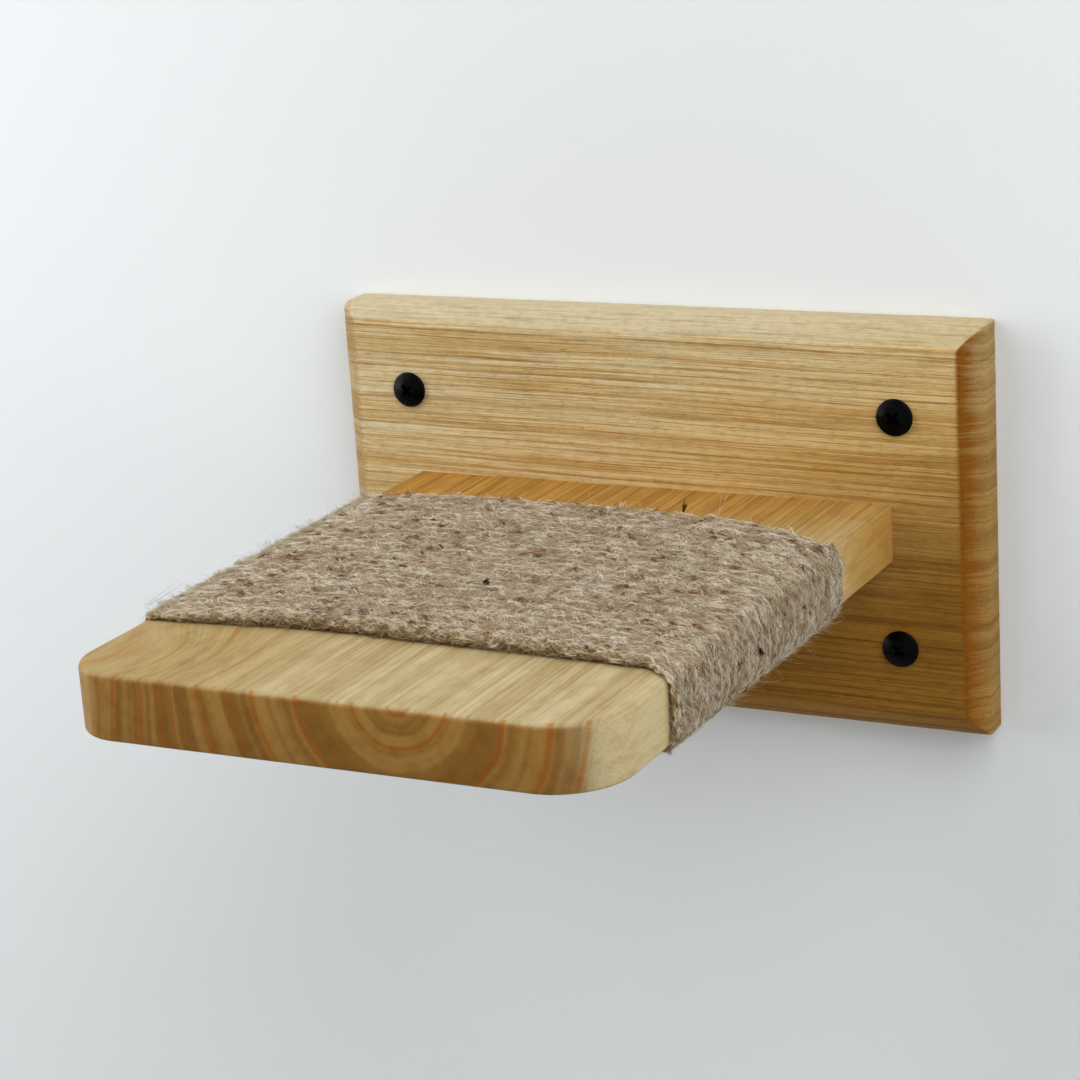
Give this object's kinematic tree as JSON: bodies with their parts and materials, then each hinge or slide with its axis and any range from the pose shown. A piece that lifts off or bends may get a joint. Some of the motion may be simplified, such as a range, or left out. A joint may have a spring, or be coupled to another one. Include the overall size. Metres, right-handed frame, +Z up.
{
  "type": "cat wall shelf",
  "caption": "Bevelled softwood back plate with a cantilevered shelf board wound in jute rope, a step and scratching place for a cat, screwed to a wall.",
  "frame": {"origin": "centre of the back plate's rear face, on the surface of the wall, midway between the four wall screws", "axes": "+X to the right seen from the room, +Y into the wall, +Z up; the shelf board stands out along -Y"},
  "size_m": [0.24, 0.271, 0.141],
  "materials": {
    "plate_wood": "brushed and oiled softwood",
    "shelf_wood": "planed and oiled softwood",
    "jute": "hairy natural fibre",
    "black_screw": "satin black",
    "zinc_steel": "zinc plated",
    "dowel_wood": "plain beech"
  },
  "bodies": {
    "root": {"back_plate": "plate_wood", "shelf_board": "shelf_wood", "rope_wrap": "jute", "wall_screw_top_left": "black_screw", "wall_screw_top_right": "black_screw", "wall_screw_bottom_left": "black_screw", "wall_screw_bottom_right": "black_screw", "shelf_screw_left": "zinc_steel", "shelf_screw_centre": "zinc_steel", "shelf_screw_right": "zinc_steel", "shelf_dowel_left": "dowel_wood", "shelf_dowel_right": "dowel_wood", "rope_staple_front": "zinc_steel", "rope_staple_rear": "zinc_steel"}
  },
  "joints": []
}
